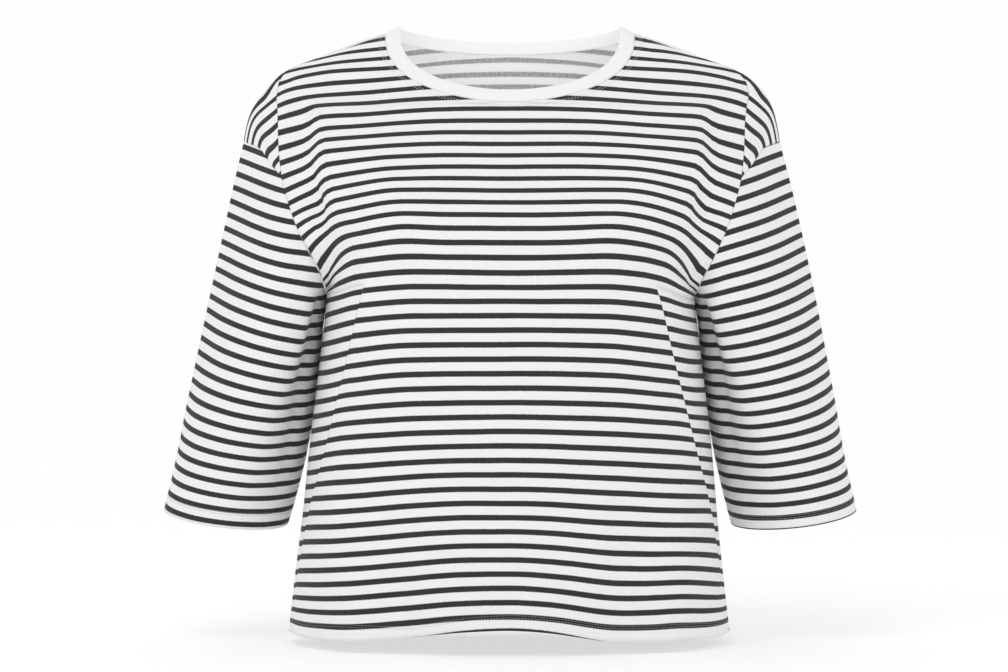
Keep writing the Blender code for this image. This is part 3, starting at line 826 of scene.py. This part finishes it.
# ------------ shader nodes

class Value:
    """A node's output, on which arithmetic adds Math nodes."""

    def __init__(self, nodes, socket):
        self.nodes, self.socket = nodes, socket

    def output(self, name):
        """Another output of the same node."""
        return Value(self.nodes, self.socket.node.outputs[name])

    def math(self, operation, *others):
        return self.nodes.add("ShaderNodeMath", {"operation": operation}, *((self,) + others))

    def __add__(self, other):
        return self.math("ADD", other)

    def __sub__(self, other):
        return self.math("SUBTRACT", other)

    def __mul__(self, other):
        return self.math("MULTIPLY", other)

    def __truediv__(self, other):
        return self.math("DIVIDE", other)

    __radd__ = __add__


class Nodes:
    """A node tree, with one way to add a node to it."""

    def __init__(self, tree):
        self.tree = tree

    def put(self, socket, value):
        if isinstance(value, Value):
            self.tree.links.new(value.socket, socket)
        elif value is not None:
            socket.default_value = value

    def add(self, kind, settings=None, *values, output=0, **named):
        """A node with its settings, then the values or links of its sockets, in order or by name."""
        node = self.tree.nodes.new(kind)
        for key, value in (settings or {}).items():
            setattr(node, key, value)
        for socket, value in zip(node.inputs, values):
            self.put(socket, value)
        for key, value in named.items():
            self.put(node.inputs[key.replace("_", " ")], value)
        return Value(self, node.outputs[output])


class Finish(Nodes):
    """One material's nodes, round its Principled BSDF."""

    def __init__(self, name):
        self.material = bpy.data.materials.new(name)
        self.material.use_nodes = True
        super().__init__(self.material.node_tree)
        self.shader = self.tree.nodes["Principled BSDF"]

    def noise(self, place, scale, detail):
        """Noise over the flat cloth."""
        settings = {"noise_dimensions": "2D"}
        return self.add("ShaderNodeTexNoise", settings, Vector=place, Scale=scale, Detail=detail)

    def mix(self, factor, a, b):
        """Mix two colours."""
        node = self.tree.nodes.new("ShaderNodeMix")
        node.data_type = "RGBA"
        colours = [socket for socket in node.inputs if socket.type == "RGBA"]
        self.put(node.inputs["Factor"], factor)
        self.put(colours[0], a)
        self.put(colours[1], b)
        return Value(self, next(socket for socket in node.outputs if socket.type == "RGBA"))

    def surface(self, **values):
        for key, value in values.items():
            self.put(self.shader.inputs[key.replace("_", " ")], value)

    def knit(self, colour, relief, strength, roughness, inside):
        """Matt knitted cloth of a colour, with its relief. On its wrong side it glows with its own colour:
        painted light standing in for daylight that comes through.
        """
        bump = self.add("ShaderNodeBump", None, Strength=strength, Distance=KNIT_RELIEF, Height=relief)
        self.surface(Base_Color=colour, Normal=bump, Roughness=roughness, Specular_IOR_Level=0.2)
        self.surface(Sheen_Weight=0.08, Sheen_Roughness=0.5)
        # painted glow: the wrong side emits its own colour, in place of light coming through the cloth
        if inside:
            self.surface(Emission_Color=colour, Emission_Strength=INSIDE_PAINTED_GLOW)
        return self.material


def opaque(colour):
    return (*colour, 1.0)


def jersey(name, colours, repeat, dark_share, phase, inside=False):
    """Single jersey with yarn-dyed stripes. Inside, the floats of white yarn veil the dark ones."""
    nodes = Finish(name)
    place = nodes.add("ShaderNodeUVMap", {"uv_map": "cloth"})
    split = nodes.add("ShaderNodeSeparateXYZ", None, place)
    u, v = split.output("X") * MM_PER_METRE, split.output("Y") * MM_PER_METRE
    drift = nodes.noise(place, 18.0, 2.0)
    fuzz = nodes.noise(place, 900.0, 1.0)
    mottle = nodes.noise(place, 320.0, 3.0)
    wale = (u * (2 * math.pi / WALE)).math("SINE")
    course = (v * (2 * math.pi / COURSE) + wale * 1.2).math("SINE")
    level = v + phase + (drift - 0.5) * STRIPE_DRIFT + (fuzz - 0.5) * STRIPE_FUZZ + wale * WALE_STEP
    turn = (level / repeat + 0.5).math("FRACT")
    from_centre = (turn - 0.5).math("ABSOLUTE") * repeat
    half = repeat * dark_share / 2
    blur = INSIDE_BLUR if inside else OUTSIDE_BLUR
    dark = nodes.add("ShaderNodeMapRange", {"interpolation_type": "SMOOTHSTEP"}, from_centre,
                     half - blur, half + blur, 1.0, 0.0)
    if inside:
        dark = dark * (0.45 + mottle * 0.9)
    white = nodes.mix(mottle, colours["white_low"], colours["white"])
    black = nodes.mix(mottle, colours["dark"], colours["dark_high"])
    relief = wale * 0.5 + course * 0.5 + mottle * 0.8
    # on the wrong side, knit adds a painted glow besides the veiled colours
    return nodes.knit(nodes.mix(dark, white, black), relief, 0.25, 0.92, inside)


def band_jersey(name, colours, inside=False):
    """The neckband's plain white jersey, its fine ribs running across the band."""
    nodes = Finish(name)
    place = nodes.add("ShaderNodeUVMap", {"uv_map": "cloth"})
    u = nodes.add("ShaderNodeSeparateXYZ", None, place) * MM_PER_METRE
    mottle = nodes.noise(place, 260.0, 3.0)
    ribs = (u * (2 * math.pi / RIB)).math("SINE")
    colour = nodes.mix(mottle, colours["white_low"], colours["band"])
    # on the wrong side, knit adds a painted glow
    return nodes.knit(colour, ribs * 0.6 + mottle, 0.2, 0.9, inside)


def thread(name, colour):
    """Spun polyester sewing thread."""
    nodes = Finish(name)
    place = nodes.add("ShaderNodeTexCoord", None, output=3)
    twist = nodes.add("ShaderNodeTexNoise", None, Vector=place, Scale=2500.0)
    low = opaque(c * THREAD_SHADE for c in colour)
    nodes.surface(Base_Color=nodes.mix(twist, low, opaque(colour)), Roughness=0.6, Specular_IOR_Level=0.4)
    return nodes.material


def studio_white(name):
    nodes = Finish(name)
    place = nodes.add("ShaderNodeTexCoord", None, output=3)
    grain = nodes.add("ShaderNodeTexNoise", None, Vector=place, Scale=4.0)
    nodes.surface(Base_Color=nodes.mix(grain, (0.90, 0.90, 0.90, 1), (0.91, 0.91, 0.91, 1)))
    nodes.surface(Roughness=1.0, Specular_IOR_Level=0.0)
    nodes.surface(Emission_Color=(1, 1, 1, 1), Emission_Strength=FLOOR_GLOW)
    return nodes.material


# ------------ properties

def distance(name, description, default, low, high):
    return FloatProperty(name=name, description=description, default=default, min=low, max=high,
                         subtype="DISTANCE", unit="LENGTH")


def colour(name, description, default):
    return FloatVectorProperty(name=name, description=description, default=default,
                               subtype="COLOR", size=3, min=0, max=1)


class ShirtSizes(bpy.types.PropertyGroup):
    """Sizes of the cloth and the sewing."""

    wall: distance("Jersey", "Thickness of the jersey", 0.0009, 0.0004, 0.003)
    hem_wall: distance("Doubled hem", "Thickness where the hem is turned up", 0.0017, 0.0005, 0.004)
    band_wall: distance("Neckband", "Thickness of the folded neckband", 0.002, 0.001, 0.005)
    repeat: distance("Stripe repeat", "Distance from one stripe to the next", 0.014, 0.004, 0.08)
    dark_share: FloatProperty(name="Dark share", description="Share of the repeat that is dark",
                              default=0.40, min=0.05, max=0.95, subtype="FACTOR")
    hem_depth: distance("Hem depth", "Height of the hem's outer stitch row", 0.0152, 0.005, 0.04)
    needle_gap: distance("Needle gap", "Distance between twin stitch rows", 0.0024, 0.001, 0.008)
    stitch: distance("Stitch length", "Length of one stitch with its gap", 0.003, 0.001, 0.008)
    thread: distance("Thread", "Thickness of the sewing thread", 0.00038, 0.0001, 0.002)


class ShirtColours(bpy.types.PropertyGroup):
    """Colours of the yarns."""

    white: colour("White", "Bleached white yarn", (0.90, 0.90, 0.905))
    dark: colour("Dark", "Dyed stripe yarn", (0.030, 0.029, 0.031))
    band: colour("Band", "Neckband jersey", (0.92, 0.92, 0.905))
    veiled: colour("Veiled", "Dark stripe seen on the wrong side", (0.26, 0.26, 0.27))
    thread: colour("Thread", "Sewing thread at the neck", (0.76, 0.76, 0.76))
    hem_thread: colour("Hem thread", "Sewing thread at the hem and the cuffs", (0.42, 0.42, 0.42))


def sizes():
    return bpy.context.scene.shirt_sizes


def yarns(inside=False):
    """The jersey's colours, with the shade that each yarn varies to."""
    colours = bpy.context.scene.shirt_colours
    white = np.array(colours.white)
    dark = np.array(colours.veiled if inside else colours.dark)
    return {
        "white": opaque(white), "white_low": opaque(white * WHITE_SHADE),
        "dark": opaque(dark), "dark_high": opaque(np.minimum(dark * DARK_LIFT, 1)),
        "band": opaque(colours.band),
    }


def jersey_pair(piece, part, phase):
    """The right and wrong side of a piece's jersey."""
    size = sizes()
    repeat = size.repeat / MM
    for inside in (False, True):
        name = f"{part}_jersey" + ("_inside" if inside else "")
        # the wrong side's material carries a painted glow in place of light coming through the cloth
        piece.data.materials.append(jersey(name, yarns(inside), repeat, size.dark_share, phase, inside))


# ------------ operators

class SHIRT_OT_front(bpy.types.Operator):
    """Make the front panel"""

    bl_idname = "shirt.front"
    bl_label = "Front"

    def execute(self, context):
        low, high = (rolled(grid) for grid in front_half())
        low[0][-1] = high[0][0, :low[0].shape[1]]
        grids = both_halves(low, False) + both_halves(high, False)
        width, length, area = cut_of(grids)
        grids = [(points, front_stripes(flat), flip) for points, flat, flip in grids]
        piece = shell("front_panel", grids)
        jersey_pair(piece, "front", 0.0)
        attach(piece, BODY)
        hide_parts("front")
        return {"FINISHED"}


class SHIRT_OT_back(bpy.types.Operator):
    """Make the back panel, with the strips that come forward under the arms"""

    bl_idname = "shirt.back"
    bl_label = "Back"

    def execute(self, context):
        rows, strip = back_half()
        rows = rolled(rows, slice(len(LOW_LEVELS), None))
        grids = both_halves(rows, True) + both_halves(rolled(strip), True)
        width, length, area = cut_of(grids)
        grids = [(points, back_stripes(flat), flip) for points, flat, flip in grids]
        piece = shell("back_panel", grids)
        jersey_pair(piece, "back", BACK_PHASE)
        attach(piece, BODY)
        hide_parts("back")
        return {"FINISHED"}


class SHIRT_OT_sleeves(bpy.types.Operator):
    """Make both sleeves"""

    bl_idname = "shirt.sleeves"
    bl_label = "Sleeves"

    def execute(self, context):
        for side, phase in (("left", LEFT_SLEEVE_PHASE), ("right", RIGHT_SLEEVE_PHASE)):
            grids = [(*sleeve_rings(side), side == "left")]
            piece = shell(f"{side}_sleeve", grids)
            jersey_pair(piece, f"{side}_sleeve", phase)
            width, length, area = cut_of(grids)
            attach(piece, BODY)
            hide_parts(f"sleeve_{side}")
        return {"FINISHED"}


class SHIRT_OT_neckband(bpy.types.Operator):
    """Make the folded neckband"""

    bl_idname = "shirt.neckband"
    bl_label = "Neckband"

    def execute(self, context):
        piece, width, length = neckband()
        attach(piece, BODY)
        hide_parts("neckband")
        return {"FINISHED"}


def neckband():
    """A strip folded along the free edge: outer layer, rolled fold and inner layer, sewn at the seam."""
    quarter = BAND_RINGS // 4
    half = [(math.pi / 2 * step / quarter, False) for step in range(quarter + 1)]
    half += [(angle, True) for angle, _ in half[-2::-1]]
    seam, edge = (np.array([neck_curve(curve, *at) for at in half]) for curve in (NECK_SEAM, BAND_EDGE))
    seam = np.concatenate([seam, seam[-2::-1] * (-1, 1, 1)])
    edge = np.concatenate([edge, edge[-2::-1] * (-1, 1, 1)])
    ahead = np.concatenate([seam[1:], seam[1:2]])
    behind = np.concatenate([seam[-2:-1], seam[:-1]])
    up = edge - seam
    width = np.linalg.norm(up, axis=1)
    up /= width[:, None]
    outward = unit(np.cross(up, unit(ahead - behind)))
    outward *= np.sign(np.sum((seam - seam.mean(0)) * outward, axis=1))[:, None]
    girth = lengths_of(seam)
    section = band_section(width.mean(), sizes().band_wall / MM)
    across = lengths_of(np.array(section))
    points = [seam + up * (at * width / width.mean())[:, None] - outward * depth for at, depth in section]
    flat = [np.stack([girth, np.full(len(seam), at)], 1) for at in across]
    piece = shell("neck_band", [(np.array(points), np.array(flat), True)], hemmed=False)
    piece.modifiers["Wall"].material_offset = 0
    line_band(piece, across[-1] / 2 * MM)
    return piece, girth[-1] * MM, across[-1] * MM


def line_band(piece, fold):
    """The band's jersey, and its wrong side with its painted glow past the fold, on the layer that lies
    inside.
    """
    piece.data.materials.append(band_jersey("white_band", yarns()))
    # the inside material carries a painted glow that stands in for light coming through the band
    piece.data.materials.append(band_jersey("white_band_inside", yarns(), True))
    place = piece.data.uv_layers["cloth"].data
    for polygon in piece.data.polygons:
        if place[polygon.loop_start].uv[1] > fold:
            polygon.material_index = 1


def band_section(width, total):
    """The band's section from the seam over the fold: distance from the seam, depth below its face."""
    radius = total / 2
    section = []
    for share in np.linspace(0, 1, BAND_PROFILE // 2):
        dip = SEAM_ROLL * max(1 - share * BAND_DIPS, 0) ** 2
        crown = BAND_CROWN * math.sin(math.pi * share)
        section.append((SEAM_GAP / 2 + share * (width - radius), dip - crown))
    for step in range(1, BAND_FOLD_STEPS):
        angle = math.pi * step / BAND_FOLD_STEPS
        section.append((width - radius + radius * math.sin(angle), radius * (1 - math.cos(angle))))
    for share in np.linspace(1, 0, BAND_PROFILE // 2):
        section.append((SEAM_GAP / 2 + share * (width - radius), total))
    return section


def surface_of(piece):
    mesh = piece.data
    return BVHTree.FromPolygons([v.co for v in mesh.vertices], [tuple(p.vertices) for p in mesh.polygons])


def laid_on(surface, points, height):
    """Points moved onto a surface and raised off it."""
    result = []
    for point in points:
        place, normal, _, _ = surface.find_nearest(Vector(point) * MM)
        result.append(place + normal * height)
    return result


def stitch_tree():
    """Stitches set end to end along the edges of a mesh."""
    tree = bpy.data.node_groups.new("stitches", "GeometryNodeTree")
    tree.interface.new_socket("Geometry", in_out="INPUT", socket_type="NodeSocketGeometry")
    for label in ("Stitch Length", "Thread", "Share"):
        tree.interface.new_socket(label, in_out="INPUT", socket_type="NodeSocketFloat")
    tree.interface.new_socket("Material", in_out="INPUT", socket_type="NodeSocketMaterial")
    tree.interface.new_socket("Geometry", in_out="OUTPUT", socket_type="NodeSocketGeometry")
    nodes = Nodes(tree)
    given = nodes.add("NodeGroupInput")
    length, width = given.output("Stitch Length"), given.output("Thread")
    curve = nodes.add("GeometryNodeMeshToCurve", None, given)
    points = nodes.add("GeometryNodeCurveToPoints", {"mode": "LENGTH"}, Curve=curve, Length=length)
    bead = nodes.add("GeometryNodeMeshUVSphere", None, Segments=6, Rings=4, Radius=0.5)
    size = nodes.add("ShaderNodeCombineXYZ", None, width, width, length * given.output("Share"))
    laid = nodes.add("GeometryNodeInstanceOnPoints", None, Points=points, Instance=bead,
                     Rotation=points.output("Rotation"), Scale=size)
    whole = nodes.add("GeometryNodeRealizeInstances", None, laid)
    smooth = nodes.add("GeometryNodeSetShadeSmooth", None, Geometry=whole)
    finish = nodes.add("GeometryNodeSetMaterial", None, Geometry=smooth, Material=given.output("Material"))
    nodes.put(tree.nodes.new("NodeGroupOutput").inputs["Geometry"], finish)
    return tree


def stitches(name, paths, tree, material):
    """One mesh of stitches along open paths, each a list of places in metres."""
    vertices, edges = [], []
    for path in paths:
        first = len(vertices)
        vertices.extend(path)
        edges.extend((first + i, first + i + 1) for i in range(len(path) - 1))
    guide = bpy.data.meshes.new(name + "_path")
    guide.from_pydata(vertices, edges, [])
    piece = add_object(name, guide)
    modifier = piece.modifiers.new("Stitches", "NODES")
    modifier.node_group = tree
    size = sizes()
    values = {"Stitch Length": size.stitch, "Thread": size.thread, "Share": STITCH_SHARE}
    values["Material"] = material
    for item in tree.interface.items_tree:
        if item.item_type == "SOCKET" and item.in_out == "INPUT" and item.name in values:
            modifier[item.identifier] = values[item.name]
    shown = piece.evaluated_get(bpy.context.evaluated_depsgraph_get())
    mesh = bpy.data.meshes.new_from_object(shown)
    piece.modifiers.clear()
    piece.data = mesh
    mesh.name = name
    bpy.data.meshes.remove(guide)
    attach(piece, BODY)


def both_ways(half):
    """A half's points from the mirrored end to its own end."""
    return np.concatenate([half[::-1] * (-1, 1, 1), half[1:]])


def hem_paths(front, back, lift):
    """Twin rows round the hem: on the front, and on the back with its side strips."""
    size = sizes()
    paths = []
    for row in range(2):
        level = (size.hem_depth - size.needle_gap * row) / MM
        line, seam = front_line(level), seam_share(level)
        half = folded(spaced(line, np.linspace(0, seam - SEAM_CLEAR, HEM_PATH_POINTS)))
        paths.append(laid_on(front, both_ways(half), lift))
        behind = folded(spaced(back_line(level), np.linspace(0, 1, HEM_PATH_POINTS)))
        under = folded(spaced(line, np.linspace(1, seam + SEAM_CLEAR, STRIP_PATH_POINTS)))
        paths.append(laid_on(back, both_ways(np.concatenate([behind, under[1:]])), lift))
    return paths


def cuff_paths(side, lift):
    """Twin rows round a cuff."""
    surface = surface_of(bpy.data.objects[f"{side}_sleeve"])
    points, flat = sleeve_rings(side)
    paths = []
    for height in CUFF_ROW_HEIGHTS[side]:
        ring = [
            [np.interp(height, flat[::-1, c, 1], points[::-1, c, axis]) for axis in range(3)]
            for c in range(points.shape[1])
        ]
        paths.append(laid_on(surface, np.array(ring), lift))
    return paths


def neck_paths(front, back, lift):
    """Twin rows just outside the neck seam, round the front and the back."""
    paths = []
    angles = np.linspace(-math.pi / 2, math.pi / 2, NECK_PATH_POINTS)
    for offset in NECK_STITCH_OFFSETS:
        for is_front, surface in ((True, front), (False, back)):
            seam, edge = (
                np.array([neck_curve(curve, abs(a), is_front) * (1 if a >= 0 else -1, 1, 1) for a in angles])
                for curve in (NECK_SEAM, BAND_EDGE)
            )
            paths.append(laid_on(surface, seam + unit(seam - edge) * offset, lift))
    return paths


class SHIRT_OT_sewing(bpy.types.Operator):
    """Sew the hem, the cuffs and the neck with twin rows of stitches"""

    bl_idname = "shirt.sewing"
    bl_label = "Sewing"

    def execute(self, context):
        colours = context.scene.shirt_colours
        tree = stitch_tree()
        yarn = thread("sewing_thread", colours.thread)
        hem_yarn = thread("hem_thread", colours.hem_thread)
        front, back = (surface_of(bpy.data.objects[name]) for name in ("front_panel", "back_panel"))
        lift = sizes().thread * STITCH_LIFT
        stitches("hem_stitches", hem_paths(front, back, lift), tree, hem_yarn)
        for side in CUFF_ROW_HEIGHTS:
            stitches(f"{side}_cuff_stitches", cuff_paths(side, lift), tree, hem_yarn)
        stitches("neck_stitches", neck_paths(front, back, lift), tree, yarn)
        return {"FINISHED"}


# ------------ stage

class SHIRT_OT_stage(bpy.types.Operator):
    """Set the floor, lights and camera"""

    bl_idname = "shirt.stage"
    bl_label = "Stage"

    def execute(self, context):
        scene = context.scene
        sheet = backdrop(CAD_BOX[0][2] - FLOOR_DROP)
        world = bpy.data.worlds.new("soft_white")
        scene.world = world
        world.use_nodes = True
        world.node_tree.nodes["Background"].inputs["Color"].default_value = (1, 1, 1, 1)
        world.node_tree.nodes["Background"].inputs["Strength"].default_value = WORLD_LIGHT
        for lamp in SOFTBOXES:
            softbox(*lamp)
        lens = bpy.data.cameras.new("camera")
        lens.sensor_width = SENSOR
        lens.lens = SENSOR * CAMERA_DISTANCE / (IMAGE_WIDTH * MM)
        camera = bpy.data.objects.new("camera", lens)
        camera.location = (CAMERA_X, -CAMERA_DISTANCE, CAMERA_Z)
        camera.rotation_euler = (math.pi / 2, 0, 0)
        scene.collection.objects.link(camera)
        scene.camera = camera
        scene.view_settings.view_transform = "Standard"
        return {"FINISHED"}


def softbox(name, place, aim, size, power):
    light = bpy.data.lights.new(name, "AREA")
    light.shape = "SQUARE"
    light.size = size
    light.energy = power
    lamp = bpy.data.objects.new(name, light)
    lamp.location = place
    lamp.rotation_euler = (Vector(aim) - Vector(place)).to_track_quat("-Z", "Y").to_euler()
    bpy.context.scene.collection.objects.link(lamp)


def backdrop(floor_z):
    """A white sheet that runs from the floor up behind the shirt in one curve."""
    depth, near, rise, half, bend, steps = 6.0, -9.0, 7.0, 9.0, 2.0, 15
    profile = [(near, 0.0), (depth - bend, 0.0)]
    for step in range(1, steps + 1):
        angle = math.pi / 2 * step / steps
        profile.append((depth - bend + bend * math.sin(angle), bend * (1 - math.cos(angle))))
    profile.append((depth, rise))
    vertices = [(x, y, floor_z + z) for x in (-half, half) for y, z in profile]
    count = len(profile)
    faces = [(i, i + count, i + 1 + count, i + 1) for i in range(count - 1)]
    mesh = bpy.data.meshes.new("backdrop")
    mesh.from_pydata(vertices, [], faces)
    mesh.shade_smooth()
    mesh.materials.append(studio_white("studio_white"))
    return add_object("backdrop", mesh)


class SHIRT_PT_panel(bpy.types.Panel):
    """Buttons that make the shirt's pieces"""

    bl_label = "T-shirt"
    bl_idname = "SHIRT_PT_panel"
    bl_space_type = "VIEW_3D"
    bl_region_type = "UI"
    bl_category = "T-shirt"

    def draw(self, context):
        layout = self.layout
        for group in (context.scene.shirt_sizes, context.scene.shirt_colours):
            box = layout.box()
            for name in group.__annotations__:
                box.prop(group, name)
        for operator in OPERATORS:
            layout.operator(operator.bl_idname)


OPERATORS = (
    SHIRT_OT_front,
    SHIRT_OT_back,
    SHIRT_OT_sleeves,
    SHIRT_OT_neckband,
    SHIRT_OT_sewing,
    SHIRT_OT_stage,
)
CLASSES = (ShirtSizes, ShirtColours, *OPERATORS, SHIRT_PT_panel)


def register():
    for item in CLASSES:
        bpy.utils.register_class(item)
    bpy.types.Scene.shirt_sizes = PointerProperty(type=ShirtSizes)
    bpy.types.Scene.shirt_colours = PointerProperty(type=ShirtColours)


def unregister():
    del bpy.types.Scene.shirt_colours
    del bpy.types.Scene.shirt_sizes
    for item in reversed(CLASSES):
        bpy.utils.unregister_class(item)


def main():
    register()
    bpy.ops.shirt.front()
    bpy.ops.shirt.back()
    bpy.ops.shirt.sleeves()
    bpy.ops.shirt.neckband()
    bpy.ops.shirt.sewing()
    bpy.ops.shirt.stage()


if __name__ == "__main__":
    main()
